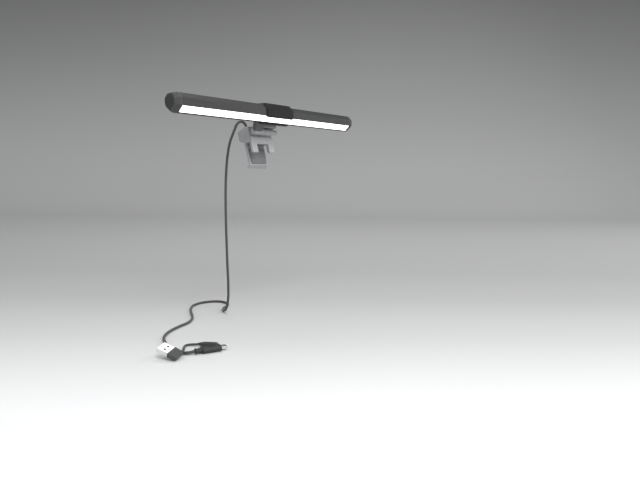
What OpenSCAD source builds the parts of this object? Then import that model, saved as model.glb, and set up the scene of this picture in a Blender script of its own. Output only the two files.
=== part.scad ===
// Laptop screen light bar: an eight-sided LED bar on a tilting neck, a sprung clip that
// sits on the top edge of a screen, and a lead with a USB-C plug and a USB-A adapter.
// Millimetres. X runs along the bar, -Y faces the user, +Z is up.
// The origin is the middle of the clip's seat on the screen's top edge.

/* [Light bar] */
// Length of the bar over its end caps
bar_len = 303; // [240:1:360]
// Height of the bar's eight-sided section
bar_h = 19.6; // [19:0.1:21]
// Depth of the bar's section, front to back
bar_d = 18.6; // [18:0.1:21]
// Leg of the section's lower facets, the front one of which is lit
bar_facet = 7.2; // [6.8:0.1:7.4]
// Leg of the section's upper facets
top_facet = 4.8; // [3:0.1:6]
// Wall of the extruded shell
bar_wall = 1.2; // [1:0.1:1.4]
// Width of the diffuser's lit face
diffuser_w = 8.2; // [7:0.1:8.4]
// Length of each end cap's straight collar
cap_collar = 3.8; // [2:0.2:6]
// Length of each end cap's taper
cap_len = 5.4; // [3:0.2:8]
// How far the end cap's face is smaller than the section, each side
cap_inset = 2.2; // [1.5:0.1:4]
// Number of LEDs along the bar
led_count = 44; // [20:2:60]

/* [Control saddle] */
// Width of the saddle along the bar
saddle_w = 47.4; // [46:0.2:60]
// Thickness of the saddle's wall round the bar
saddle_wall = 1.8; // [1.6:0.1:2.2]
// Length of the bevel at each end of the saddle
saddle_bevel = 2.4; // [1:0.2:4]
// Distance between neighbouring keys
key_pitch = 12; // [11:0.5:13]

/* [Clip] */
// Backward lean of the screen that the clip sits on, in degrees
lid_lean = 14.7; // [0:0.1:30]
// Thickness of the screen that the closed clip holds
screen_t = 6; // [5.6:0.1:8]
// Width of the clip along the screen's edge
clip_w = 38; // [36:1:44]
// Width of the window that keeps the screen's camera clear
window_w = 19.4; // [16:0.2:22]
// How far the front legs reach down the screen
leg_reach = 11.8; // [8:0.2:16]
// How far the rear jaw reaches down behind the screen
jaw_reach = 26; // [20:1:34]

/* [Lead] */
// Diameter of the lead
lead_d = 3; // [2.8:0.1:3.2]
// Diameter of the adapter's pigtail
pigtail_d = 2.4; // [2.2:0.1:2.6]

/* [Hidden] */

// Colours of the finishes
bar_grey = "#57585a";
saddle_grey = "#3a3b3c";
clip_grey = "#a5a7a9";
rubber_grey = "#6d6f71";
lead_grey = "#3c3d3f";
steel = "#c9ccd0";

// The bar's centre line and the tilt hinge, in the row frame
bar_y = -25.3;
bar_z = 33.3;
hinge_clip_y = -13;
hinge_clip_z = 11.5;
hinge_y = hinge_clip_y * cos(lid_lean) + hinge_clip_z * sin(lid_lean);
hinge_z = hinge_clip_z * cos(lid_lean) - hinge_clip_y * sin(lid_lean);

// Section of the bar
half_d = bar_d / 2;
half_h = bar_h / 2;
facet_y = (bar_facet - 2 * half_d) / 2;
facet_z = (bar_facet - 2 * half_h) / 2;
facet_growth = 2 - sqrt(2);
shell_len = bar_len - 2 * (cap_len + cap_collar);
slot_shift = 0.3;
fit_gap = 0.05;

// Insides of the bar, as depths behind the lower front facet
flange_depth = bar_wall + fit_gap;
flange_t = 0.65;
board_depth = 6.2;
board_t = 1;
spreader_depth = board_depth + board_t;
spreader_w = 13.4;
rib_mid = 8.5;
rib_half = 2.6;
led_h = 0.7;
switch_h = 1.5;
plunger_h = 0.6;
stem_len = 2.6;
stem_gap = 0.35;
control_z = half_h - stem_len - stem_gap - plunger_h - switch_h - board_t;

// Saddle and keys
lip_cover = 0.3;
split_y = 3.4;
key_len = 9;
key_w = 4;
key_gap = 0.15;
key_proud = 0.6;
flange_over = 0.5;

// Neck, hinge and clip
neck_left = -19;
neck_right = -1.4;
foot_mid = -15.8;
foot_w = 15.4;
web_right = -8.4;
core_r = 2.9;
barrel_r = 3.7;
shaft_r = 1.9;
bracket_left = -1;
bracket_right = 14;
block_left = -5.4;
block_right = 19;
bracket_screw_r = 0.9;
screw_r = 0.7;
block_r = 1.2;
nut_r = 2.7;
half_t = screen_t / 2;
pad_t = 1.4;
fork_t = 3.2;
fork_front = -half_t - pad_t - fork_t;
fork_top = 7.2;
window_top = -1.4;
body_front = fork_front + 1.1;
body_back = 11;
body_top = 19.6;
body_rear_top = 16.8;
body_wall = 2;
rear_wall = 1.4;
seat_t = 1.2;
jaw_y = 6.5;
jaw_z = 9;
jaw_pin_r = 1.5;
knuckle_r = 2.6;
jaw_half = 15;
spring_half = 5;

// Desk that the end of the lead lies on, and the lead's connectors
desk_z = -208.5;
lead_z = desk_z + lead_d / 2;
pig_z = desk_z + pigtail_d / 2;
gland_x = -9;
gland_y = 5;
gland_z = 17.9;
gland_h = 3.8;
gland_mouth = [
    gland_x,
    gland_y * cos(lid_lean) + (gland_z + gland_h) * sin(lid_lean),
    (gland_z + gland_h) * cos(lid_lean) - gland_y * sin(lid_lean)
];
plug_at = [-153.6, -58.8, desk_z + 3.1];
plug_turn = -19.5;
boot_len = 7;
plug_body_len = 19;
plug_shell_len = 6.7;
adapter_at = [-174.3, -61, -204.6];
adapter_turn = [-14.1, -17.6, 106.9];
adapter_body_len = 9;
adapter_shell_len = 12;
socket_at = [-132.8, -41.8, desk_z + 2.5];
socket_turn = -68;
socket_len = 18;

// Route of the lead: out of the gland, over to the left, down behind the screen
// and in one loose curve along the desk to the USB-C plug's boot
lead_route = [
    gland_mouth, [-9.2, 10.8, 21.6], [-10.5, 11.5, 24], [-12.6, 12, 25.7],
    [-15.3, 12.5, 26.3], [-18, 13, 25.7], [-20.2, 13.8, 24], [-21.6, 14.8, 21.3],
    [-22.6, 16.2, 17], [-24.2, 18, 11], [-26.4, 19.9, 3], [-29, 21.6, -12],
    [-30.8, 22.6, -34], [-31.4, 23.2, -62], [-28.4, 24.4, -140], [-25.4, 26, -172],
    [-22.6, 29.6, -190],
    [-19, 36.6, -202], [-14, 46, lead_z + 0.4], [-5, 56, lead_z], [8, 63, lead_z],
    [19, 74, lead_z], [20, 90, lead_z], [6, 101, lead_z], [-14, 100, lead_z],
    [-30, 89, lead_z], [-44, 73, lead_z], [-56, 57, lead_z], [-68, 44, lead_z],
    [-82, 35, lead_z], [-98, 30, lead_z], [-114, 24, lead_z], [-128, 16, lead_z],
    [-139, 6, lead_z], [-148, -7, lead_z], [-156, -21, lead_z], [-161, -34, lead_z],
    [-162.2, -45, lead_z], [-159.4, -54, lead_z + 0.6], plug_at
];

// Route of the adapter's pigtail: out of the adapter's side, over the lead and round
// to the socket
pigtail_route = [
    [-170.2, -57.9, -202.8], [-168.1, -57.5, -202.3], [-165.8, -56.4, -201.8],
    [-163.4, -54.2, -201.5], [-161, -51.4, -201.9], [-158.2, -48.2, -203.1],
    [-155.2, -44.8, -204.8], [-151.9, -40.9, -206.3], [-148.2, -37, pig_z + 0.1],
    [-144.6, -33.4, pig_z], [-141.1, -31.9, pig_z], [-138, -32.9, pig_z + 0.1],
    [-136.1, -35.6, pig_z + 0.4], [-134.6, -39, pig_z + 0.8],
    socket_at
];

// ---------- helpers ----------

// Turns a drawing in the Y-Z plane into a solid of length len, centred along X
module along_x(len) rotate([90, 0, 90]) linear_extrude(height = len, center = true) children();

// A cylinder along X, from x1 to x2
module rod_x(r, x1, x2, fn = 48)
    translate([x1, 0, 0]) rotate([0, 90, 0]) cylinder(r = r, h = x2 - x1, $fn = fn);

// A box given by its two corners
module box(a, b) translate(a) cube(b - a);

// Moves the bar's own frame to its place
module at_bar() translate([0, bar_y, bar_z]) children();

// Leans the clip back with the screen
module at_clip() rotate([-lid_lean, 0, 0]) children();

// The bar's section, grown outwards by grow
module section(grow = 0) {
    y = half_d + grow;
    z = half_h + grow;
    leg = bar_facet + facet_growth * grow;
    top = top_facet + facet_growth * grow;
    polygon([
        [-y, z - top], [-y + top, z], [y - top, z], [y, z - top],
        [y, leg - z], [y - leg, -z], [-y + leg, -z], [-y, leg - z]
    ]);
}

// Frame of the lower front facet: local x is the depth behind it, local y runs up it
module facet_frame() translate([facet_y, facet_z]) rotate(45) children();

// A slab in the facet frame, from depth d1 to d2 and from w1 to w2 across
module facet_slab(d1, d2, w1, w2) facet_frame() translate([d1, w1]) square([d2 - d1, w2 - w1]);

// A flat shape with rounded corners of radius r, lying across X and Y
module round_rect(len, wid, r) {
    square([len - 2 * r, wid], center = true);
    square([len, wid - 2 * r], center = true);
    for (sx = [-1, 1], sy = [-1, 1])
        translate([sx * (len / 2 - r), sy * (wid / 2 - r)]) circle(r = r, $fn = 32);
}

// A slotless cap screw pointing along -Z, with its head's top at z = 0
module cap_screw(head_r, head_h, shank_r, len) {
    difference() {
        translate([0, 0, -head_h]) cylinder(r = head_r, h = head_h, $fn = 32);
        translate([0, 0, -head_h * 0.6]) cylinder(r = head_r * 0.5, h = head_h, $fn = 6);
    }
    translate([0, 0, -head_h - len]) cylinder(r = shank_r, h = len + 0.1, $fn = 24);
}

// ---------- sweep for the lead and the pigtail ----------

// A point on the smooth curve through four neighbouring route points
function spline(a, b, c, d, t) =
    0.5 * (2 * b + (c - a) * t + (2 * a - 5 * b + 4 * c - d) * t * t
        + (3 * b - a - 3 * c + d) * t * t * t);
function clamp_at(p, i) = p[min(max(i, 0), len(p) - 1)];
function smooth(p, steps) = [
    for (i = [0 : len(p) - 2], s = [0 : steps - 1])
        spline(clamp_at(p, i - 1), p[i], p[i + 1], clamp_at(p, i + 2), s / steps),
    p[len(p) - 1]
];
function unit(v) = v / norm(v);
function heading(p, i) = unit(clamp_at(p, i + 1) - clamp_at(p, i - 1));
// Carries the ring's first side direction along the path without twist
function sides(p, i = 0, last = [0, 1, 0]) =
    let (t = heading(p, i), u = unit(last - (last * t) * t))
    i == len(p) - 1 ? [u] : concat([u], sides(p, i + 1, u));

module tube(route, d, steps, start_side) {
    path = smooth(route, steps);
    side = sides(path, 0, start_side);
    n = 8;
    rings = len(path);
    points = [
        for (i = [0 : rings - 1], k = [0 : n - 1])
            let (t = heading(path, i), u = side[i], v = cross(t, u), a = 360 * (k + 0.5) / n)
            path[i] + d / 2 * (cos(a) * u + sin(a) * v)
    ];
    walls = [
        for (i = [0 : rings - 2], k = [0 : n - 1])
            let (a = i * n + k, b = i * n + (k + 1) % n)
            [a, a + n, b + n, b]
    ];
    first = [for (k = [0 : n - 1]) k];
    final = [for (k = [n - 1 : -1 : 0]) (rings - 1) * n + k];
    polyhedron(points = points, faces = concat([first], walls, [final]), convexity = 6);
}

// ---------- light bar ----------

module bar_shell() color(bar_grey) at_bar() difference() {
    along_x(shell_len) difference() {
        section();
        difference() {
            section(-bar_wall);
            // Ribs that the heat spreader slides under
            for (s = [-1, 1])
                facet_slab(spreader_depth + 1.2, spreader_depth + 2, s * rib_mid - rib_half,
                    s * rib_mid + rib_half);
        }
        facet_slab(-1, bar_wall + 0.3, slot_shift - diffuser_w / 2 - fit_gap,
            slot_shift + diffuser_w / 2 + fit_gap);
    }
    // Slot in the top wall that the keys' stems pass through
    box([-key_pitch - 5, -1.7, half_h - 2 * bar_wall], [key_pitch + 5, 1.7, half_h + 1]);
    saddle_screw_places() cylinder(r = screw_r, h = 8, center = true, $fn = 24);
}

// End cap: a collar, a taper to a smaller face, and a hollow plug that presses into the shell
module end_cap(s) color(saddle_grey) at_bar() {
    hull() {
        translate([s * (shell_len + cap_collar) / 2, 0, 0]) along_x(cap_collar) section();
        translate([s * (bar_len / 2 - 1.5), 0, 0]) along_x(0.2) section(0.9 - cap_inset);
        translate([s * (bar_len / 2 - 0.1), 0, 0]) along_x(0.2) section(-cap_inset);
    }
    translate([s * (shell_len / 2 - 2), 0, 0]) along_x(4.2) difference() {
        section(-bar_wall - 0.02);
        section(-bar_wall - 1.2);
        facet_slab(-1, spreader_depth + 2.4, -14, 14);
    }
}
module end_cap_left() end_cap(-1);
module end_cap_right() end_cap(1);

// Diffuser: the lit face flush with the facet and a flange behind the slot's edges
module diffuser() color("white") at_bar() along_x(shell_len - 0.2) {
    facet_slab(0, flange_depth + 0.1, slot_shift - diffuser_w / 2, slot_shift + diffuser_w / 2);
    facet_slab(flange_depth + 0.3, flange_depth + 0.3 + flange_t, -4.4, 4.4);
    facet_slab(flange_depth, flange_depth + 0.4, -3.6, 3.6);
}

// White channel that throws the LEDs' light forwards
module reflector() color("whitesmoke") at_bar() along_x(shell_len - 12) facet_frame() for (s = [-1, 1])
    polygon([
        [board_depth - 0.1, s * 2.2], [flange_depth + flange_t + 0.4, s * 3.9],
        [flange_depth + flange_t + 0.4, s * 4.4], [board_depth - 0.1, s * 3.4]
    ]);

module led_board() color("#e8e8e2") at_bar() along_x(shell_len - 12)
    facet_slab(board_depth, spreader_depth, -4, 4);

module led_chips() color("#f3e9a8") at_bar() {
    pitch = (shell_len - 20) / (led_count - 1);
    for (i = [0 : led_count - 1])
        translate([(i - (led_count - 1) / 2) * pitch, 0, 0]) along_x(2.8)
            facet_slab(board_depth - led_h, board_depth, -1.75, 1.75);
}

// Aluminium plate across the shell that carries the LED board and spreads its heat
module heat_spreader() color("silver") at_bar() along_x(shell_len - 12)
    facet_slab(spreader_depth, spreader_depth + 1.1, -spreader_w / 2, spreader_w / 2);

module control_board() color("darkgreen") at_bar()
    box([-20, -2.2, control_z], [20, 5.2, control_z + board_t]);

module key_switches() color("#222222") at_bar() for (i = [-1 : 1])
    translate([i * key_pitch, 0, control_z + board_t]) {
        translate([0, 0, switch_h / 2]) cube([4, 3.4, switch_h], center = true);
        cylinder(r = 0.9, h = switch_h + plunger_h, $fn = 24);
    }

// ---------- control saddle ----------

// The sleeve round the bar, bevelled at both ends
module sleeve() difference() {
    hull() {
        along_x(saddle_w - 2 * saddle_bevel) section(saddle_wall);
        along_x(saddle_w) section(0.4);
    }
    along_x(saddle_w + 2) section(fit_gap);
}

module saddle_cover() color(saddle_grey) at_bar() difference() {
    sleeve();
    // Everything behind the split, and under the lip over the diffuser
    box([-30, split_y, -20], [30, 20, 20]);
    along_x(60) facet_slab(-20, 30, -30, slot_shift + diffuser_w / 2 - lip_cover);
    for (i = [-1 : 1]) translate([i * key_pitch, 0, half_h]) {
        linear_extrude(height = 4) key_shape(key_gap);
        linear_extrude(height = 0.8) key_shape(flange_over + key_gap);
    }
}

module saddle_back() color(saddle_grey) at_bar() difference() {
    intersection() {
        sleeve();
        union() {
            box([-30, split_y + 0.05, -20], [30, 20, 20]);
            box([-30, -1.6, -20], [30, 20, -half_h + 1]);
        }
    }
    at_neck_foot() neck_screw_places() {
        cylinder(r = screw_r, h = 8, center = true, $fn = 24);
        translate([0, 0, -1]) cylinder(r = 1.5, h = 2, $fn = 32);
    }
    saddle_screw_places() {
        cylinder(r = screw_r, h = 8, center = true, $fn = 24);
        translate([0, 0, -0.9]) cylinder(r = 1.55, h = 2, $fn = 32);
    }
}

// Two small screws up through the saddle's bottom into the bar
module saddle_screw_places() for (x = [-15, 15]) translate([x, 1, -half_h - saddle_wall])
    rotate([180, 0, 0]) children();
module saddle_screws() color(steel) at_bar() saddle_screw_places()
    translate([0, 0, -0.1]) cap_screw(1.5, 0.8, screw_r, 1.6);

// Outline of a key's cap, grown by grow
module key_shape(grow = 0) {
    w = key_w + 2 * grow;
    square([key_len - key_w, w], center = true);
    for (s = [-1, 1]) translate([s * (key_len - key_w) / 2, 0]) circle(r = w / 2, $fn = 32);
}

module key(i) color("#2c2d2e") at_bar() translate([i * key_pitch, 0, half_h]) {
    translate([0, 0, 0.4]) linear_extrude(height = 0.3) key_shape(flange_over);
    translate([0, 0, 0.4]) linear_extrude(height = saddle_wall + key_proud - 0.4) key_shape();
    box([-2.4, -1.2, -stem_len], [2.4, 1.2, 0.5]);
}
module key_colour() key(-1);
module key_power() key(0);
module key_brightness() key(1);

// ---------- neck and tilt hinge ----------

// The middle of the saddle's lower rear facet, with local z pointing out of it
module at_neck_foot() translate([foot_mid, -facet_y, facet_z]) rotate([-135, 0, 0]) children();
module neck_screw_places() for (x = [-5, 5]) translate([x, 0, 0]) children();

// Web from the saddle down to the hinge, grown by grow
module neck_web(grow) hull() {
    at_bar() at_neck_foot() translate([0, 0, saddle_wall + 0.6])
        linear_extrude(height = 1.1 + 2 * grow, center = true)
            round_rect(foot_w + 2 * grow, 8.6 + 2 * grow, 1.4);
    translate([0, hinge_y, hinge_z])
        rod_x(core_r - 0.4 + grow, neck_left + 1.6 - grow, web_right + grow, 32);
}

module neck_arm() color(saddle_grey) difference() {
    union() {
        neck_web(0);
        translate([0, hinge_y, hinge_z]) rod_x(core_r, neck_left + 1.6, neck_right);
    }
    translate([0, hinge_y, hinge_z]) rod_x(shaft_r, neck_left - 1, neck_right + 1);
    at_bar() at_neck_foot() neck_screw_places() cylinder(r = screw_r, h = 7, $fn = 24);
}

// Two screws from inside the saddle's back into the neck
module neck_screws() color(steel) at_bar() at_neck_foot() neck_screw_places()
    translate([0, 0, 0.1]) rotate([180, 0, 0]) cap_screw(1.4, 0.8, screw_r, 5.4);

// Sleeve snapped round the neck's core, open where the web comes in and closed at the left
module hinge_sleeve() color(clip_grey) difference() {
    translate([0, hinge_y, hinge_z]) rod_x(barrel_r, neck_left, neck_right);
    translate([0, hinge_y, hinge_z]) rod_x(core_r + 0.05, neck_left + 0.8, neck_right + 1);
    neck_web(0.05);
}

// Shaft fixed in the neck and running in the bracket, with a collar, washers and nut
module hinge_shaft() color(steel) translate([0, hinge_y, hinge_z]) {
    rod_x(shaft_r, neck_left + 0.9, bracket_right + 7);
    rod_x(shaft_r + 0.9, neck_left + 0.9, neck_left + 1.55);
}

module hinge_washers() color(steel) translate([0, hinge_y, hinge_z]) for (i = [0, 1])
    difference() {
        rod_x(3.2, bracket_right + 0.1 + i * 0.5, bracket_right + 0.5 + i * 0.5);
        rod_x(shaft_r + 0.05, bracket_right, bracket_right + 2);
    }

module hinge_nut() color(clip_grey) translate([0, hinge_y, hinge_z]) difference() {
    union() {
        rod_x(nut_r, bracket_right + 1.2, bracket_right + 6.6);
        rod_x(nut_r + 0.4, bracket_right + 1.2, bracket_right + 2.2);
    }
    rod_x(shaft_r, bracket_right, bracket_right + 8);
}

// Bracket: the fixed half of the hinge, with a block over it
module hinge_bracket() color(clip_grey) at_clip() difference() {
    union() {
        translate([0, hinge_clip_y, hinge_clip_z]) rod_x(barrel_r, bracket_left, bracket_right);
        box([bracket_left, hinge_clip_y, 8.6], [bracket_right, body_front, 15.4]);
        hull() for (y = [hinge_clip_y - 2.6, body_front - block_r], z = [17.3, 20])
            translate([0, y, z]) rod_x(block_r, block_left, block_right, 24);
        box([bracket_left, -12, 14.6], [bracket_right, body_front, 18]);
    }
    translate([0, hinge_clip_y, hinge_clip_z])
        rod_x(shaft_r + 0.05, bracket_left - 1, bracket_right + 1);
    bracket_screw_places() cylinder(r = bracket_screw_r, h = 12, center = true, $fn = 24);
}

// Two screws from inside the clip's body into the bracket's web, pointing along -Z here
module bracket_screw_places() for (x = [2.5, 10.5])
    translate([x, body_front + body_wall, hinge_clip_z + 0.5]) rotate([-90, 0, 0]) children();
module bracket_screws() color(steel) at_clip() bracket_screw_places()
    translate([0, 0, 0.8]) cap_screw(1.6, 0.8, bracket_screw_r, 5.9);

// ---------- clip ----------

// Side view of the clip's body, with rounded corners
module body_outline() offset(r = 1.6, $fn = 32) offset(delta = -1.6) polygon([
    [body_front, seat_t], [body_front, body_top], [0, body_top],
    [body_back, body_rear_top], [body_back, 6], [2.8, seat_t]
]);

module clip_body() color(clip_grey) at_clip() difference() {
    along_x(clip_w) body_outline();
    // Room for the jaw's knuckles and the spring, open below and behind
    along_x(clip_w - 2 * body_wall) polygon([
        [body_front + body_wall, 3.4], [body_front + body_wall, body_top - body_wall],
        [0, body_top - body_wall], [body_back - rear_wall, body_rear_top - body_wall],
        [body_back - rear_wall, -2], [2.9, -2], [2.9, 3.4]
    ]);
    translate([0, jaw_y, jaw_z]) rod_x(jaw_pin_r, -clip_w, clip_w);
    // Hole and spot face for the gland
    translate([gland_x, gland_y, gland_z - 4]) cylinder(r = 2.6, h = 8, $fn = 32);
    translate([gland_x, gland_y, gland_z]) cylinder(r = 3.6, h = 8, $fn = 32);
    bracket_screw_places() cylinder(r = bracket_screw_r, h = 8, center = true, $fn = 24);
}

// Front fork: two legs in front of the screen, joined above the camera window
module front_fork() color(clip_grey) at_clip() difference() {
    translate([0, fork_front + fork_t, 0]) rotate([90, 0, 0]) linear_extrude(height = fork_t)
        difference() {
            translate([0, (fork_top - leg_reach) / 2])
                round_rect(clip_w, fork_top + leg_reach, 1.6);
            translate([0, window_top - 10]) square([window_w, 20], center = true);
        }
    // Recess for the clip body's front wall above the seat
    box([-clip_w, body_front, seat_t], [clip_w, 0, fork_top + 1]);
}

module front_pads() color(rubber_grey) at_clip() for (s = [-1, 1])
    translate([s * (clip_w + window_w) / 4, -half_t, -6]) rotate([90, 0, 0])
        linear_extrude(height = pad_t) round_rect(7.4, 9.4, 1.2);

module seat_pad() color(rubber_grey) at_clip() linear_extrude(height = seat_t)
    translate([0, -0.2]) round_rect(clip_w - 4, screen_t - 0.6, 1);

// Rear jaw: two knuckles on the pin and a blade down behind the screen
module rear_jaw() color(clip_grey) at_clip() difference() {
    union() {
        for (s = [-1, 1]) translate([0, jaw_y, jaw_z])
            rod_x(knuckle_r, s > 0 ? spring_half + 1 : -jaw_half, s > 0 ? jaw_half : -spring_half - 1);
        for (s = [-1, 1]) translate([s * (jaw_half + spring_half + 1) / 2, 0, 0])
            along_x(jaw_half - spring_half - 1) polygon([
                [half_t + pad_t, -4], [half_t + pad_t, jaw_z - 3], [jaw_y, jaw_z],
                [jaw_y + 1.1, jaw_z], [half_t + pad_t + 3, 2], [half_t + pad_t + 3, -4]
            ]);
        // Blade with a turned-out grip at its foot
        along_x(2 * jaw_half) polygon([
            [half_t + pad_t, 0], [half_t + pad_t + 3, 0], [half_t + pad_t + 2.6, 4 - jaw_reach],
            [half_t + pad_t + 6, -jaw_reach], [half_t + pad_t + 4.6, -jaw_reach - 1.4],
            [half_t + pad_t, -jaw_reach + 2]
        ]);
    }
    translate([0, jaw_y, jaw_z]) rod_x(jaw_pin_r + 0.05, -clip_w, clip_w);
}

module rear_pad() color(rubber_grey) at_clip() translate([0, half_t + pad_t, -13.5])
    rotate([90, 0, 0]) linear_extrude(height = pad_t) round_rect(26, 18, 2);

module jaw_pin() color(steel) at_clip() translate([0, jaw_y, jaw_z])
    rod_x(jaw_pin_r, -clip_w / 2 + 0.2, clip_w / 2 - 0.2);

// Torsion spring: close turns round the pin, one leg under the top wall, one on the jaw
module jaw_spring() color(steel) at_clip() translate([0, jaw_y, jaw_z]) {
    wire = 0.45;
    turn_r = 2.3;
    for (i = [-4 : 4]) rotate([0, 90, 0]) translate([0, 0, i * 1.8 * wire])
        rotate_extrude($fn = 32) translate([turn_r, 0]) circle(r = wire, $fn = 8);
    translate([-7.2 * wire, 0, turn_r]) rotate([66, 0, 0]) cylinder(r = wire, h = 9, $fn = 16);
    translate([7.2 * wire, turn_r, 0]) rotate([160, 0, 0]) cylinder(r = wire, h = 8.9, $fn = 16);
}

// ---------- lead and connectors ----------

// Gland in the clip's top: a collar and a tapered strain relief
module lead_gland() color(lead_grey) at_clip() translate([gland_x, gland_y, gland_z])
    rotate_extrude($fn = 48) polygon([
        [0, -1.8], [2.6, -1.8], [2.6, 0], [3.4, 0], [3.4, 0.8], [2.6, 1.2],
        [1.9, gland_h], [0, gland_h]
    ]);

module lead() color(lead_grey) tube(lead_route, lead_d, 2, [1, 0, 0]);

module at_plug() translate(plug_at) rotate([0, 0, plug_turn]) children();

// Tapered boot where the lead enters the plug
module usb_c_boot() color(lead_grey) at_plug() rotate([0, 90, 0]) rotate_extrude($fn = 48)
    polygon([[0, 0], [2.5, 0], [2.8, 0.4], [2.8, 1.6], [2.15, 1.9], [2.2, 2.6],
        [2.9, boot_len], [0, boot_len]]);

module usb_c_body() color(lead_grey) at_plug() translate([boot_len, 0, 0]) hull()
    for (x = [0.6, plug_body_len - 0.6], s = [-1, 1]) translate([x, s * (x < 1 ? 2.4 : 2.7), 0])
        rotate([0, 90, 0]) cylinder(r = x < 1 ? 2.6 : 3.1, h = 1.2, center = true, $fn = 32);

// A connector's shell: a tube of rounded section along X
module shell_tube(len, wid, thick, r, wall) rotate([90, 0, 90]) linear_extrude(height = len)
    difference() {
        round_rect(wid, thick, r);
        round_rect(wid - 2 * wall, thick - 2 * wall, max(r - wall, 0.2));
    }

module usb_c_shell() color(steel) at_plug() translate([boot_len + plug_body_len, 0, 0])
    shell_tube(plug_shell_len, 8.3, 2.5, 1.2, 0.3);
module usb_c_tongue() color("#222222") at_plug() translate([boot_len + plug_body_len, 0, 0])
    for (s = [-1, 1]) translate([0, 0, s * 0.72])
        translate([2.9, 0, 0]) cube([5.8, 6, 0.4], center = true);

module at_adapter() translate(adapter_at) rotate(adapter_turn) children();

module adapter_body() color(lead_grey) at_adapter() hull()
    for (y = [-5.4, 5.4], z = [-1.4, 1.4]) translate([0, y, z]) {
        translate([0.8, 0, 0]) sphere(r = 0.8, $fn = 16);
        rod_x(1.2, adapter_body_len - 1, adapter_body_len + 0.5, 24);
    }
module adapter_shell() color(steel) at_adapter() translate([adapter_body_len + 0.5, 0, 0])
    difference() {
        shell_tube(adapter_shell_len, 12, 4.5, 0.5, 0.35);
        // Latch windows in both flats
        for (y = [-2.6, 2.6], z = [-2.2, 2.2]) translate([5.6, y, z])
            cube([2.4, 1.9, 1], center = true);
    }
module adapter_tongue() color("#1c1c1e") at_adapter()
    translate([adapter_body_len + 0.5, -5.5, -1.85]) cube([adapter_shell_len - 1, 11, 1.8]);

module pigtail() color(lead_grey) tube(pigtail_route, pigtail_d, 2, [0, 0, 1]);

module at_socket() translate(socket_at) rotate([0, 0, socket_turn]) children();
module pigtail_boot() color(lead_grey) at_socket() rotate([0, 90, 0]) rotate_extrude($fn = 48)
    polygon([[0, 0], [1.5, 0], [2, 3.2], [2.2, 3.2], [2.2, 4], [0, 4]]);
module socket_body() color(lead_grey) at_socket() difference() {
    translate([4, 0, 0]) hull() for (x = [0.5, socket_len - 4.5], s = [-1, 1])
        translate([x, s * (x < 1 ? 1.6 : 2.8), 0]) rotate([0, 90, 0])
            cylinder(r = x < 1 ? 2.2 : 2.5, h = 1, center = true, $fn = 32);
    translate([socket_len - 7, 0, 0]) rotate([90, 0, 90]) linear_extrude(height = 12)
        round_rect(9, 3.2, 1.5);
}
module socket_shell() color(steel) at_socket() translate([socket_len - 7, 0, 0])
    shell_tube(6.8, 8.96, 3.16, 1.4, 0.25);

bar_shell();
end_cap_left();
end_cap_right();
diffuser();
reflector();
led_board();
led_chips();
heat_spreader();
control_board();
key_switches();
saddle_cover();
saddle_back();
saddle_screws();
key_colour();
key_power();
key_brightness();
neck_arm();
neck_screws();
hinge_sleeve();
hinge_shaft();
hinge_washers();
hinge_nut();
hinge_bracket();
bracket_screws();
clip_body();
front_fork();
front_pads();
seat_pad();
rear_jaw();
rear_pad();
jaw_pin();
jaw_spring();
lead_gland();
lead();
usb_c_boot();
usb_c_body();
usb_c_shell();
usb_c_tongue();
adapter_body();
adapter_shell();
adapter_tongue();
pigtail();
pigtail_boot();
socket_body();
socket_shell();
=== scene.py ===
# Looks of the monitor light bar: materials, softened edges, cords, keys, connectors,
# floor and light, all in the CAD's own frame (metres, origin on the clip's seat).
from math import cos, pi, radians, sin

import bpy
import bmesh
from mathutils import Matrix, Vector


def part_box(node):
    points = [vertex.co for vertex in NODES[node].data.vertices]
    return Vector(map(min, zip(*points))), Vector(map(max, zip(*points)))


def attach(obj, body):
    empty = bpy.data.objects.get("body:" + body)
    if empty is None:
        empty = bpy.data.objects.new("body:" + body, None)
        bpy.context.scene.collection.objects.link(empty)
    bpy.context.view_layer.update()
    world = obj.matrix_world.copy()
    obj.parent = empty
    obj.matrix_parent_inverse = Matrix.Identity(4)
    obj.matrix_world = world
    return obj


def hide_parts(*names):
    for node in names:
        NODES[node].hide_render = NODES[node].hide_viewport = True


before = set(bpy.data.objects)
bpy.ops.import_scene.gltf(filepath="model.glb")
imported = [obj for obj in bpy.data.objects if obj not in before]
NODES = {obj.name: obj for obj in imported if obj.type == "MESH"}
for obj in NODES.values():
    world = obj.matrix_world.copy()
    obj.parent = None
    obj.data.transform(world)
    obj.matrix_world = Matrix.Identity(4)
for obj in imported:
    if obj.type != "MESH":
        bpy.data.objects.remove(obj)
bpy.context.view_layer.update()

MM = 0.001


def shift(x, y, z):
    return Matrix.Translation((x, y, z))


def turned(degrees, axis):
    return Matrix.Rotation(radians(degrees), 4, axis)


# The clip leans back with the screen
AT_CLIP = turned(-14.7, "X")

# Level of the desk, where the lead lies on it, and the gap down to the floor that stands for it
DESK_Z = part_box("lead")[0].z
FLOOR_GAP = 0.0001

# Turn from +Y to the camera's heading. The floor and its painted light and shade run along the same
# line
HEADING = turned(-53.29, "Z")


# ---------- camera ----------

def make_camera():
    """A view from the front left, slightly downwards."""
    pitch, roll = -6.56, 0.6
    camera = bpy.data.objects.new("camera", bpy.data.cameras.new("camera"))
    camera.data.sensor_width = 36
    camera.data.lens = 33.06
    camera.data.clip_start = 0.01
    turn = HEADING @ turned(90 + pitch, "X") @ turned(roll, "Z")
    camera.matrix_world = shift(-0.5244, -0.4848, -0.0323) @ turn
    bpy.context.scene.collection.objects.link(camera)
    bpy.context.scene.camera = camera


make_camera()


# ---------- node helpers for the materials ----------

# Sockets of the Mix node that carry colours
MIX_A, MIX_B, MIX_RESULT = 6, 7, 2


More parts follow.
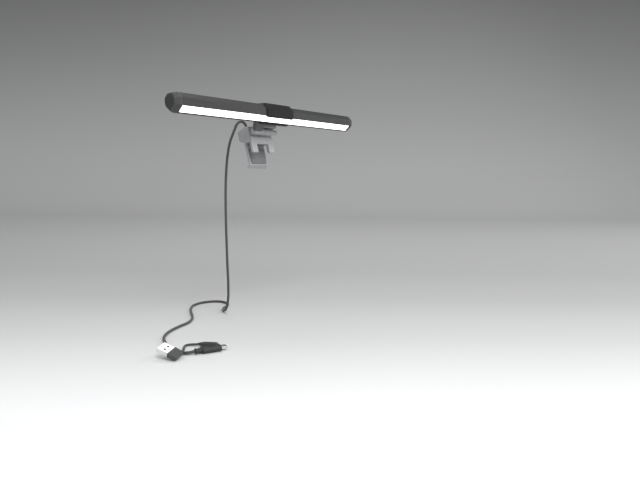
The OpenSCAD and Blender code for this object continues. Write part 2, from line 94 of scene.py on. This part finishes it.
class Shader:
    """A material being built: one Principled shader and what feeds it."""

    def __init__(self, name):
        self.material = bpy.data.materials.new(name)
        self.material.use_nodes = True
        self.tree = self.material.node_tree
        self.shader = self.tree.nodes["Principled BSDF"]
        self.place = self.node("ShaderNodeTexCoord").outputs["Object"]

    def node(self, kind, **settings):
        made = self.tree.nodes.new(kind)
        for key, value in settings.items():
            setattr(made, key, value)
        return made

    def link(self, source, target):
        self.tree.links.new(source, target)

    def scaled(self, scale):
        """The place on the surface, in units of 1 / scale metres along each axis."""
        mapping = self.node("ShaderNodeMapping")
        mapping.inputs["Scale"].default_value = scale
        self.link(self.place, mapping.inputs["Vector"])
        return mapping.outputs["Vector"]

    def noise(self, scale, detail=3, stretch=(1, 1, 1)):
        """Soft noise with about scale blobs in a metre."""
        made = self.node("ShaderNodeTexNoise")
        made.inputs["Scale"].default_value = scale
        made.inputs["Detail"].default_value = detail
        made.inputs["Roughness"].default_value = 0.55
        self.link(self.scaled(stretch), made.inputs["Vector"])
        return made.outputs["Fac"]

    def cells(self, scale):
        """Distance to the nearest of about scale points in a metre."""
        made = self.node("ShaderNodeTexVoronoi")
        made.inputs["Scale"].default_value = scale
        self.link(self.place, made.inputs["Vector"])
        return made.outputs["Distance"]

    def spread(self, value, low, high, start=0.3, end=0.7):
        """value, which runs from start to end, mapped to low..high."""
        made = self.node("ShaderNodeMapRange")
        made.inputs["From Min"].default_value = start
        made.inputs["From Max"].default_value = end
        made.inputs["To Min"].default_value = low
        made.inputs["To Max"].default_value = high
        self.link(value, made.inputs["Value"])
        return made.outputs["Result"]

    def math(self, operation, a, b=0):
        made = self.node("ShaderNodeMath", operation=operation)
        for socket, value in zip(made.inputs, (a, b)):
            if isinstance(value, (int, float)):
                socket.default_value = value
            else:
                self.link(value, socket)
        return made.outputs["Value"]

    def mix(self, fac, a, b):
        """Colour a where fac is 0 and colour b where it is 1."""
        made = self.node("ShaderNodeMix", data_type="RGBA")
        self.link(fac, made.inputs["Factor"])
        for socket, value in ((made.inputs[MIX_A], a), (made.inputs[MIX_B], b)):
            if isinstance(value, tuple):
                socket.default_value = (*value, 1)
            else:
                self.link(value, socket)
        return made.outputs[MIX_RESULT]

    def edges(self, radius):
        """1 on edges and corners of about that radius, 0 on flat faces."""
        bevel = self.node("ShaderNodeBevel", samples=4)
        bevel.inputs["Radius"].default_value = radius
        flat = self.node("ShaderNodeNewGeometry").outputs["Normal"]
        dot = self.node("ShaderNodeVectorMath", operation="DOT_PRODUCT")
        self.link(bevel.outputs["Normal"], dot.inputs[0])
        self.link(flat, dot.inputs[1])
        return self.spread(dot.outputs["Value"], 1, 0, 0.8, 0.99)

    def bump(self, height, distance, strength, after=None):
        """Bumps of height on top of the normal that after gives."""
        made = self.node("ShaderNodeBump")
        made.inputs["Strength"].default_value = strength
        made.inputs["Distance"].default_value = distance
        self.link(height, made.inputs["Height"])
        if after:
            self.link(after, made.inputs["Normal"])
        return made.outputs["Normal"]

    def set(self, **values):
        """Sets or links the Principled shader's own sockets, and gives the finished material."""
        for name, value in values.items():
            socket = self.shader.inputs[name.replace("_", " ")]
            if isinstance(value, bpy.types.NodeSocket):
                self.link(value, socket)
            elif isinstance(value, tuple):
                socket.default_value = (*value, 1)
            else:
                socket.default_value = value
        return self.material


def shade(colour, factor):
    return tuple(min(1, c * factor) for c in colour)


def mottled(s, colour, amount, scale):
    """colour with soft lighter and darker areas."""
    low, high = shade(colour, 1 - amount), shade(colour, 1 + amount)
    return s.mix(s.spread(s.noise(scale, 4), 0, 1), low, high)


# ---------- materials ----------

def anodised(name, colour, rough):
    """Anodised extrusion: fine lines along X, blasted grain and paler rubbed edges."""
    s = Shader(name)
    lines = s.noise(900, 2, stretch=(0.02, 1, 1))
    grain = s.noise(9000, 2)
    base = mottled(s, colour, 0.05, 45)
    base = s.mix(s.math("MULTIPLY", s.edges(0.0005), 0.35), base, shade(colour, 1.7))
    gloss = s.math("ADD", s.spread(lines, -0.05, 0.05), s.spread(grain, rough - 0.03, rough + 0.05))
    normal = s.bump(grain, 0.000008, 0.5, s.bump(lines, 0.000006, 0.5))
    return s.set(Base_Color=base, Metallic=0.25, Roughness=gloss, Normal=normal)


def moulded(name, colour, rough=0.5, texture=5200, depth=0.000012, wear=0.3, shine=0.5):
    """Moulded plastic with a fine spark-eroded texture and slightly polished edges."""
    s = Shader(name)
    pits = s.cells(texture)
    flow = s.noise(70, 3)
    base = mottled(s, colour, 0.06, 60)
    edge = s.edges(0.0005)
    base = s.mix(s.math("MULTIPLY", edge, wear), base, shade(colour, 1.5))
    pitted = s.spread(pits, rough + 0.05, rough - 0.04, 0, 0.8)
    gloss = s.math("ADD", pitted, s.spread(flow, -0.04, 0.04))
    gloss = s.math("SUBTRACT", gloss, s.math("MULTIPLY", edge, 0.12))
    normal = s.bump(pits, depth, 0.7, s.bump(flow, 0.00003, 0.3))
    return s.set(Base_Color=base, Roughness=gloss, Normal=normal, Specular_IOR_Level=shine)


def soft_rubber(name, colour, rough=0.6):
    """Silicone or cable jacket: matt, slightly uneven, with specks of dust."""
    s = Shader(name)
    skin = s.noise(2600, 4)
    sag = s.noise(150, 2)
    dust = s.spread(s.noise(1500, 2), 0, 0.35, 0.62, 0.75)
    base = s.mix(dust, mottled(s, colour, 0.1, 90), shade(colour, 2.2))
    gloss = s.math("ADD", s.spread(skin, rough - 0.06, rough + 0.08), s.spread(sag, -0.04, 0.04))
    normal = s.bump(skin, 0.00001, 0.6, s.bump(sag, 0.00003, 0.3))
    return s.set(Base_Color=base, Roughness=gloss, Normal=normal, Sheen_Weight=0.15)


def metal(name, colour, rough, lines=(1, 1, 1), depth=0.000004):
    """Turned, drawn or plated metal, with tool marks stretched across lines."""
    s = Shader(name)
    marks = s.noise(5000, 3, stretch=lines)
    stain = s.noise(220, 3)
    base = s.mix(s.spread(stain, 0, 1), shade(colour, 0.9), shade(colour, 1.05))
    base = s.mix(s.math("MULTIPLY", s.edges(0.0003), 0.4), base, shade(colour, 1.25))
    gloss = s.math("ADD", s.spread(marks, rough - 0.05, rough + 0.07), s.spread(stain, -0.03, 0.05))
    return s.set(Base_Color=base, Metallic=1.0, Roughness=gloss, Normal=s.bump(marks, depth, 0.5))


# The row of LEDs, and one chip's width as a share of their pitch
LED_COUNT = 44
CHIP_SHARE = 0.4


def lit_diffuser(name):
    """Milky strip lit from behind, with faint bands at the LEDs' pitch and fine ribs."""
    s = Shader(name)
    low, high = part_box("led_chips")
    pitch = (high.x - low.x) / (LED_COUNT - 1 + CHIP_SHARE)
    axis = s.node("ShaderNodeSeparateXYZ")
    s.link(s.place, axis.inputs["Vector"])
    wave = s.math("COSINE", s.math("MULTIPLY", axis.outputs["X"], 2 * pi / pitch))
    cloud = s.noise(500, 2)
    glow = s.math("ADD", s.spread(wave, 2.6, 3, -1, 1), s.spread(cloud, -0.1, 0.1))
    colour = s.mix(s.spread(wave, 0, 1, -1, 1), (1.0, 0.975, 0.935), (1.0, 0.985, 0.955))
    ribs = s.noise(7000, 1, stretch=(1, 0.02, 0.02))
    rough = s.spread(cloud, 0.38, 0.5)
    return s.set(Base_Color=(0.9, 0.9, 0.88), Roughness=rough, Emission_Color=colour,
                 Emission_Strength=glow, Normal=s.bump(ribs, 0.00001, 0.4))


def board(name, colour):
    """Printed circuit board: solder mask over a faint pattern of copper tracks."""
    s = Shader(name)
    tracks = s.node("ShaderNodeTexBrick")
    tracks.inputs["Scale"].default_value = 160
    tracks.inputs["Mortar Size"].default_value = 0.06
    s.link(s.place, tracks.inputs["Vector"])
    base = s.mix(tracks.outputs["Fac"], colour, shade(colour, 1.3))
    rough = s.spread(s.noise(800, 2), 0.25, 0.42)
    return s.set(Base_Color=base, Roughness=rough, Normal=s.bump(tracks.outputs["Fac"], 0.00003, 0.5))


def phosphor(name):
    """LED packages: yellow phosphor under clear resin."""
    s = Shader(name)
    base = mottled(s, (0.9, 0.78, 0.25), 0.08, 2500)
    return s.set(Base_Color=base, Roughness=s.spread(s.noise(3000, 2), 0.12, 0.25), Coat_Weight=0.5)


BAR = anodised("bar_finish", (0.039, 0.0393, 0.04), 0.5)
CAP = moulded("cap_plastic", (0.038, 0.0385, 0.0395), 0.48)
DIFFUSER = lit_diffuser("diffuser_plastic")
WHITE = moulded("reflector_white", (0.85, 0.85, 0.84), 0.45, wear=0)
BOARD_WHITE = board("board_white", (0.78, 0.78, 0.75))
PHOSPHOR = phosphor("led_phosphor")
ALUMINIUM = metal("bare_aluminium", (0.7, 0.71, 0.72), 0.38, (0.02, 1, 1))
BOARD_GREEN = board("board_green", (0.02, 0.14, 0.06))
BLACK = moulded("black_plastic", (0.016, 0.016, 0.018), 0.4)
SADDLE = moulded("saddle_plastic", (0.013, 0.0132, 0.0135), 0.5, shine=0.18)
NECK = moulded("neck_plastic", (0.085, 0.0855, 0.087), 0.5)
KEY = moulded("key_plastic", (0.024, 0.024, 0.026), 0.36, texture=9000, depth=0.000006)
CLIP = moulded("clip_plastic", (0.325, 0.327, 0.331), 0.48, texture=4200, wear=0.25)
STEEL = metal("hinge_steel", (0.56, 0.56, 0.57), 0.3)
PRINT = moulded("key_print", (0.42, 0.42, 0.43), 0.6, wear=0)
INSERT = moulded("cap_insert", (0.022, 0.0225, 0.024), 0.42, texture=8000)
PAD = soft_rubber("pad_rubber", (0.14, 0.145, 0.15), 0.7)
CORD = soft_rubber("cord_rubber", (0.05, 0.051, 0.053))
OVERMOULD = moulded("overmould", (0.058, 0.0585, 0.06), 0.55, texture=3800)
CONNECTOR = moulded("connector_plastic", (0.036, 0.0365, 0.0375), 0.55, texture=3800, shine=0.4)
NICKEL = metal("shell_nickel", (0.84, 0.84, 0.845), 0.2, depth=0.000002)
GOLD = metal("contact_gold", (0.83, 0.6, 0.24), 0.2)


# ---------- the CAD's own nodes: finish and softened edges ----------

# Corners closer than this are joined, and faces flatter than this merged, before rounding
WELD_GAP = 0.000002
FLAT_ANGLE = radians(0.8)


def finish(node, material, width=0.0, angle=25, segments=3):
    """Gives a CAD node its material and, where width isn't 0, rounds its sharp edges."""
    piece = NODES[node]
    piece.data.materials.clear()
    piece.data.materials.append(material)
    if width:
        weld = piece.modifiers.new("weld", "WELD")
        weld.merge_threshold = WELD_GAP
        flat = piece.modifiers.new("flat", "DECIMATE")
        flat.decimate_type = "DISSOLVE"
        flat.angle_limit = FLAT_ANGLE
        bevel = piece.modifiers.new("bevel", "BEVEL")
        bevel.width = width
        bevel.segments = segments
        bevel.limit_method = "ANGLE"
        bevel.angle_limit = radians(angle)
        bevel.harden_normals = True
    normals = piece.modifiers.new("normals", "WEIGHTED_NORMAL")
    normals.keep_sharp = True


finish("bar_shell", BAR, 0.0006)
finish("end_cap_left", CAP, 0.0005)
finish("end_cap_right", CAP, 0.0005)
finish("diffuser", DIFFUSER, 0.0003)
finish("reflector", WHITE)
finish("led_board", BOARD_WHITE)
finish("led_chips", PHOSPHOR)
finish("heat_spreader", ALUMINIUM)
finish("control_board", BOARD_GREEN)
finish("key_switches", BLACK)
finish("saddle_cover", SADDLE, 0.0004)
finish("saddle_back", SADDLE, 0.0004)
finish("neck_arm", NECK, 0.0004)
finish("hinge_sleeve", CLIP, 0.0003)
finish("hinge_nut", CLIP, 0.0003)
finish("hinge_bracket", CLIP, 0.0004)
finish("clip_body", CLIP, 0.0004)
finish("front_fork", CLIP, 0.0005)
finish("front_pads", PAD, 0.0003)
finish("seat_pad", PAD, 0.0002)
finish("rear_jaw", CLIP, 0.0004)
finish("rear_pad", PAD, 0.0003)
for part in ("saddle_screws", "neck_screws", "bracket_screws", "hinge_shaft", "hinge_washers",
             "jaw_pin"):
    finish(part, STEEL, 0.0001, 40, 2)
finish("jaw_spring", STEEL)
finish("lead_gland", CORD, 0.0002)
finish("usb_c_boot", CONNECTOR, 0.0002)
finish("usb_c_body", CONNECTOR)
finish("usb_c_shell", NICKEL, 0.0001)
finish("usb_c_tongue", BLACK, 0.0001)
finish("adapter_body", OVERMOULD)
finish("adapter_shell", NICKEL, 0.0001)
finish("adapter_tongue", BLACK, 0.0002)
finish("pigtail_boot", CONNECTOR, 0.0002)
finish("socket_body", CONNECTOR)
finish("socket_shell", NICKEL, 0.0001)


# ---------- places in the CAD, in millimetres ----------

# The bar's middle, its top facet above it, and the flat end of a cap beside it
AT_BAR = shift(0, -25.3, 33.3)
BAR_TOP = 9.8
CAP_END = 151.5

# The desk, and the starts of the plug and the socket, where the cords go in
DESK_MM = -208.5
PLUG_AT = (-153.6, -58.8, DESK_MM + 3.1)
SOCKET_AT = (-132.8, -41.8, DESK_MM + 2.5)
AT_PLUG = shift(*PLUG_AT) @ turned(-19.5, "Z")
AT_SOCKET = shift(*SOCKET_AT) @ turned(-68, "Z")

# The adapter, which lies tilted beside the plug
AT_ADAPTER = shift(-174.3, -61, -204.6) @ turned(106.9, "Z") @ turned(-17.6, "Y") @ turned(-14.1, "X")

# The gland's foot on the clip, in the clip's leaning frame, and its height
GLAND_AT = Vector((-9, 5, 17.9))
GLAND_H = 3.8

# The rear jaw's pad, in the same frame: the height of its middle and the plane of its ribs
PAD_MID = -13.5
RIB_PLANE = 3.02

# Turns a ring or a disc from round the local z axis to round the x axis
FACE_X = turned(90, "Y")


# ---------- small pieces that the CAD leaves out ----------

ON_LEAD, ON_PIGTAIL = [], []


def add_bar(bm, place, size):
    """A box of that size with its middle at place."""
    bmesh.ops.create_cube(bm, size=1, matrix=place @ Matrix.Diagonal((*size, 1)))


def add_disc(bm, place, radius, height, segments=48):
    """A cylinder round the local z axis with its middle at place."""
    bmesh.ops.create_cone(bm, cap_ends=True, segments=segments, radius1=radius, radius2=radius,
                          depth=height, matrix=place)


def add_ring(bm, place, radius, thick, start=0.0, end=360.0, segments=48):
    """A round bar bent round the local z axis, from angle start to angle end."""
    sides = 8
    closed = end - start >= 360
    rings = []
    for i in range(segments if closed else segments + 1):
        a = radians(start + (end - start) * i / segments)
        ring = []
        for k in range(sides):
            b = 2 * pi * k / sides
            out = radius + thick * cos(b)
            ring.append(bm.verts.new(place @ Vector((out * cos(a), out * sin(a), thick * sin(b)))))
        rings.append(ring)
    pairs = list(zip(rings, rings[1:] + rings[:1])) if closed else list(zip(rings, rings[1:]))
    for one, two in pairs:
        for k in range(sides):
            bm.faces.new((one[k], two[k], two[(k + 1) % sides], one[(k + 1) % sides]))
    if not closed:
        bm.faces.new(rings[0])
        bm.faces.new(rings[-1][::-1])


# Edges that turn more than this stay sharp
SHARP_ANGLE = radians(40)


def built(name, build, material, body):
    """A piece whose mesh build makes in millimetres; it rides on a CAD body."""
    bm = bmesh.new()
    build(bm)
    bmesh.ops.recalc_face_normals(bm, faces=bm.faces)
    bmesh.ops.scale(bm, vec=(MM, MM, MM), verts=bm.verts)
    for edge in bm.edges:
        edge.smooth = edge.calc_face_angle(pi) < SHARP_ANGLE
    for face in bm.faces:
        face.smooth = True
    mesh = bpy.data.meshes.new(name)
    bm.to_mesh(mesh)
    bm.free()
    return add_piece(name, mesh, material, body)


def add_piece(name, data, material, body):
    """Links a new piece, gives it its material and lets it ride on a CAD body."""
    piece = bpy.data.objects.new(name, data)
    bpy.context.scene.collection.objects.link(piece)
    data.materials.append(material)
    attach(piece, body)
    return piece


# Distance between the keys, half of a key's length and width, its top over the bar's, and
# where the middle of its printed mark lies
KEY_PITCH = 12
KEY_HALF_LEN = 4.5
KEY_HALF_W = 2
KEY_TOP = 2.4
MARK_Z = 2.25


def stadium(half_len, half_w, z):
    """Outline of a key, as points at height z."""
    mid = half_len - half_w
    steps = 12
    points = []
    for side, first in ((1, -90), (-1, 90)):
        for k in range(steps + 1):
            a = radians(first + 180 * k / steps)
            points.append(Vector((side * mid + half_w * cos(a), half_w * sin(a), z)))
    return points


def key_cap(bm, at):
    """A key with a flange under the saddle, a rounded rim, a dished top and a stem."""
    # How far each layer lies inside the key's outline, and its height
    layers = [(-0.5, 0.4), (-0.5, 0.7), (0, 0.7), (0, 2.22), (0.06, 2.34), (0.2, KEY_TOP),
              (0.4, 2.38), (0.8, 2.3), (1.2, 2.24), (1.6, 2.22)]
    rings = []
    for cut, z in layers:
        outline = stadium(KEY_HALF_LEN - cut, KEY_HALF_W - cut, z)
        rings.append([bm.verts.new(at @ point) for point in outline])
    for one, two in zip(rings, rings[1:]):
        for k in range(len(one)):
            bm.faces.new((one[k], one[(k + 1) % len(one)], two[(k + 1) % len(one)], two[k]))
    bm.faces.new(rings[0][::-1])
    bm.faces.new(rings[-1])
    add_bar(bm, at @ shift(0, 0, -1.05), (4.8, 2.4, 3.1))


def power_mark(bm, at):
    """An open ring with a stroke in its gap."""
    add_ring(bm, at, 0.75, 0.07, 125, 415, segments=24)
    add_bar(bm, at @ shift(0, 0.6, 0), (0.14, 0.8, 0.14))


def brightness_mark(bm, at):
    """A disc with rays."""
    add_disc(bm, at, 0.42, 0.12, 32)
    rays = 8
    for k in range(rays):
        add_bar(bm, at @ turned(360 / rays * k, "Z") @ shift(0.85, 0, 0), (0.34, 0.12, 0.12))


def colour_mark(bm, at):
    """Two rings that overlap."""
    for x in (-0.35, 0.35):
        add_ring(bm, at @ shift(x, 0, 0), 0.6, 0.07, segments=24)


def make_key(name, x, mark):
    """One key with its printed mark, at x along the bar."""
    at = AT_BAR @ shift(x, 0, BAR_TOP)
    body = name + "_key"
    key = built(name + "_key_cap", lambda bm: key_cap(bm, at), KEY, body)
    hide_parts("key_" + name)
    built(name + "_mark", lambda bm: mark(bm, at @ shift(0, 0, MARK_Z)), PRINT, body)


def make_keys():
    make_key("colour", -KEY_PITCH, colour_mark)
    make_key("power", 0, power_mark)
    make_key("brightness", KEY_PITCH, brightness_mark)


def add_contacts(bm, at, x, height, length):
    """Two facing rows of twelve USB-C contacts, height above and below the middle."""
    count, pitch = 12, 0.5
    for side in (-1, 1):
        for k in range(count):
            y = (k - (count - 1) / 2) * pitch
            add_bar(bm, at @ shift(x, y, height * side), (length, 0.26, 0.1))


def make_trim():
    """Ribs, grips, contacts and cap inserts."""
    def gland_ribs(bm):
        for z, radius in ((1.55, 2.5), (2.2, 2.33), (2.85, 2.15), (3.45, 2)):
            add_ring(bm, AT_CLIP @ shift(*GLAND_AT) @ shift(0, 0, z), radius, 0.2)
    built("gland_ribs", gland_ribs, CORD, "clip")

    def boot_ribs(bm):
        for k in range(4):
            add_ring(bm, AT_PLUG @ shift(3 + 0.95 * k, 0, 0) @ FACE_X, 2.27 + 0.15 * k, 0.16)
    ON_LEAD.append(built("boot_ribs", boot_ribs, CONNECTOR, "clip"))

    def plug_grips(bm):
        for side in (-1, 1):
            for k in range(5):
                rib = (0.6, 5.4 - abs(k - 2) * 0.7, 0.3)
                add_bar(bm, AT_PLUG @ shift(15 + 1.5 * k, 0, 3.04 * side), rib)
    ON_LEAD.append(built("plug_grips", plug_grips, CONNECTOR, "clip"))

    def plug_contacts(bm):
        add_contacts(bm, AT_PLUG, 29.2, 0.48, 4.8)
    ON_LEAD.append(built("plug_contacts", plug_contacts, GOLD, "clip"))

    def adapter_contacts(bm):
        for y in (-3.5, -1, 1, 3.5):
            add_bar(bm, AT_ADAPTER @ shift(15.6, y, -0.02), (9, 1, 0.14))
    ON_PIGTAIL.append(built("adapter_contacts", adapter_contacts, GOLD, "clip"))

    def socket_tongue(bm):
        add_bar(bm, AT_SOCKET @ shift(14, 0, 0), (6, 6.6, 0.7))
    ON_PIGTAIL.append(built("socket_tongue", socket_tongue, BLACK, "clip"))

    def socket_contacts(bm):
        add_contacts(bm, AT_SOCKET, 14.4, 0.36, 4.4)
    ON_PIGTAIL.append(built("socket_contacts", socket_contacts, GOLD, "clip"))

    def jaw_grips(bm):
        for y, z in ((7.9, -23), (8.75, -24), (9.6, -25)):
            add_disc(bm, AT_CLIP @ shift(0, y, z) @ FACE_X, 0.4, 24, 24)
    built("jaw_grips", jaw_grips, CLIP, "jaw")

    def cap_inserts(bm):
        for side in (-1, 1):
            add_disc(bm, AT_BAR @ shift((CAP_END + 0.05) * side, 0, 0) @ FACE_X, 6.4, 0.5)
            add_ring(bm, AT_BAR @ shift((CAP_END + 0.25) * side, 0, 0) @ FACE_X, 6.3, 0.2)
    built("cap_inserts", cap_inserts, INSERT, "head")

    def rear_pad_ribs(bm):
        for k in range(-3, 4):
            add_disc(bm, AT_CLIP @ shift(0, RIB_PLANE, PAD_MID + 2.3 * k) @ FACE_X, 0.22, 22, 16)
    built("rear_pad_ribs", rear_pad_ribs, PAD, "jaw")


make_keys()
make_trim()


# ---------- cords ----------

def cord_curve(name, route, diameter):
    """A round cord through the route's points. They and diameter are in millimetres."""
    curve = bpy.data.curves.new(name, "CURVE")
    curve.dimensions = "3D"
    curve.bevel_depth = diameter / 2 * MM
    curve.bevel_resolution = 6
    curve.resolution_u = 10
    curve.use_fill_caps = True
    spline = curve.splines.new("BEZIER")
    spline.bezier_points.add(len(route) - 1)
    for point, at in zip(spline.bezier_points, route):
        point.co = Vector(at) * MM
        point.handle_left_type = point.handle_right_type = "AUTO"
    return add_piece(name, curve, CORD, "clip")


# Diameters, and the middles of the cords where they lie on the desk
LEAD_D = 3
PIGTAIL_D = 2.4
LEAD_Z = DESK_MM + LEAD_D / 2
PIG_Z = DESK_MM + PIGTAIL_D / 2
GLAND_MOUTH = tuple(AT_CLIP @ (GLAND_AT + Vector((0, 0, GLAND_H))))

# Out of the gland, over to the left, down behind the screen and along the desk to the plug
LEAD_ROUTE = [
    GLAND_MOUTH, (-9.2, 10.8, 21.6), (-10.5, 11.5, 24), (-12.6, 12, 25.7),
    (-15.3, 12.5, 26.3), (-18, 13, 25.7), (-20.2, 13.8, 24), (-21.6, 14.8, 21.3),
    (-22.6, 16.2, 17), (-24.2, 18, 11), (-26.4, 19.9, 3), (-29, 21.6, -12),
    (-30.8, 22.6, -34), (-31.4, 23.2, -62), (-28.4, 24.4, -140), (-25.4, 26, -172),
    (-22.6, 29.6, -190), (-19, 36.6, -202), (-14, 46, LEAD_Z + 0.4), (-5, 56, LEAD_Z),
    (8, 63, LEAD_Z), (19, 74, LEAD_Z), (20, 90, LEAD_Z), (6, 101, LEAD_Z),
    (-14, 100, LEAD_Z), (-30, 89, LEAD_Z), (-44, 73, LEAD_Z), (-56, 57, LEAD_Z),
    (-68, 44, LEAD_Z), (-82, 35, LEAD_Z), (-98, 30, LEAD_Z), (-114, 24, LEAD_Z),
    (-128, 16, LEAD_Z), (-139, 6, LEAD_Z), (-148, -7, LEAD_Z), (-156, -21, LEAD_Z),
    (-161, -34, LEAD_Z), (-162.2, -45, LEAD_Z), (-159.4, -54, LEAD_Z + 0.6), PLUG_AT,
]

# Out of the adapter, over the lead and round to the socket, where it lies on the desk
PIGTAIL_ROUTE = [
    (-170.2, -57.9, -202.8), (-168.1, -57.5, -202.3), (-165.8, -56.4, -201.8),
    (-163.4, -54.2, -201.5), (-161, -51.4, -201.9), (-158.2, -48.2, -203.1),
    (-155.2, -44.8, -204.8), (-151.9, -40.9, -206.3), (-148.2, -37, PIG_Z + 0.1),
    (-144.6, -33.4, PIG_Z), (-141.1, -31.9, PIG_Z), (-138, -32.9, PIG_Z + 0.1),
    (-136.1, -35.6, PIG_Z + 0.4), (-134.6, -39, PIG_Z + 0.8), SOCKET_AT,
]


def make_cords():
    """The lead and the adapter's pigtail, drawn as round cords in place of the CAD's own, which are
    hidden.
    """
    lead = cord_curve("lead_cable", LEAD_ROUTE, LEAD_D)
    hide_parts("lead")
    pigtail = cord_curve("adapter_pigtail", PIGTAIL_ROUTE, PIGTAIL_D)
    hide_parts("pigtail")


make_cords()


# ---------- floor, backdrop and light ----------

# The floor runs this far to each side and to the front, bends up behind and ends in a wall
FLOOR_REACH = 14
BEND_START = 1.6
BEND_RADIUS = 0.8
WALL_HEIGHT = 4


def floor_profile():
    """The floor's section along the camera's heading, as pairs of distance and height."""
    desk = DESK_Z - FLOOR_GAP
    steps = 10
    profile = [(-FLOOR_REACH, desk), (BEND_START, desk)]
    for k in range(1, steps + 1):
        a = radians(90 / steps * k)
        profile.append((BEND_START + BEND_RADIUS * sin(a), desk + BEND_RADIUS * (1 - cos(a))))
    profile.append((BEND_START + BEND_RADIUS, desk + WALL_HEIGHT))
    return profile


def floor_painted_light_and_shade():
    """Painted light and shade: pale in front of the object, grey behind it, and darker up the
    backdrop.
    """
    s = Shader("floor")
    painted_shade_distance = s.node("ShaderNodeVectorMath", operation="DOT_PRODUCT")
    s.link(s.place, painted_shade_distance.inputs[0])
    painted_shade_distance.inputs[1].default_value = HEADING @ Vector((0, 1, 0))
    up = s.node("ShaderNodeSeparateXYZ")
    s.link(s.place, up.inputs["Vector"])
    painted_shade_ramp = s.node("ShaderNodeValToRGB")
    s.link(s.spread(painted_shade_distance.outputs["Value"], 0, 1, -0.3, 2.2), painted_shade_ramp.inputs["Fac"])
    stops = painted_shade_ramp.color_ramp.elements
    # Painted light and shade: where each tone lies on the way from the front to the wall, and its
    # grey
    for at, grey in ((0.08, 0.66), (0.16, 0.505), (0.25, 0.455), (0.5, 0.5)):
        stops.new(at).color = (grey, grey, grey, 1)
    stops[0].color = (0.92, 0.92, 0.92, 1)
    stops[-1].color = (0.56, 0.56, 0.56, 1)
    # Painted shade: the backdrop gets darker with height
    height = s.spread(up.outputs["Z"], 0, 1, -0.2, 0.85)
    base = s.mix(height, painted_shade_ramp.outputs["Color"], (0.2, 0.2, 0.2))
    return s.set(Base_Color=base, Roughness=s.spread(s.noise(300, 3), 0.5, 0.6))


def make_stage():
    """A pale floor that curves up into a backdrop behind the object."""
    mesh = bpy.data.meshes.new("floor")
    bm = bmesh.new()
    profile = floor_profile()
    left, right = [[bm.verts.new(HEADING @ Vector((x, y, z))) for y, z in profile]
                   for x in (-FLOOR_REACH, FLOOR_REACH)]
    for k in range(len(profile) - 1):
        bm.faces.new((left[k], right[k], right[k + 1], left[k + 1])).smooth = True
    bm.to_mesh(mesh)
    bm.free()
    mesh.materials.append(floor_painted_light_and_shade())
    floor = bpy.data.objects.new("floor", mesh)
    bpy.context.scene.collection.objects.link(floor)


def area_light(name, at, target, size, power):
    """A white disc lamp at a place, turned towards its target."""
    light = bpy.data.lights.new(name, "AREA")
    light.shape = "DISK"
    light.size = size
    light.energy = power
    lamp = bpy.data.objects.new(name, light)
    lamp.location = at
    aim = Vector(target) - Vector(at)
    lamp.rotation_euler = aim.to_track_quat("-Z", "Y").to_euler()
    bpy.context.scene.collection.objects.link(lamp)


def make_light():
    """A pale sky and three soft lamps."""
    middle = (0, 0, -0.1)
    world = bpy.data.worlds.new("studio")
    world.use_nodes = True
    background = world.node_tree.nodes["Background"]
    background.inputs["Color"].default_value = (0.975, 0.985, 1, 1)
    background.inputs["Strength"].default_value = 0.6
    bpy.context.scene.world = world
    area_light("key", (-0.7, -1.4, 1.4), middle, 1.2, 29)
    area_light("fill", (1.4, -1.2, 0.7), middle, 1.4, 10)
    area_light("top", (0.48, 0.46, 1.2), (-0.15, -0.05, -0.2), 1.0, 4)
    bpy.context.scene.view_settings.view_transform = "Standard"


make_stage()
make_light()
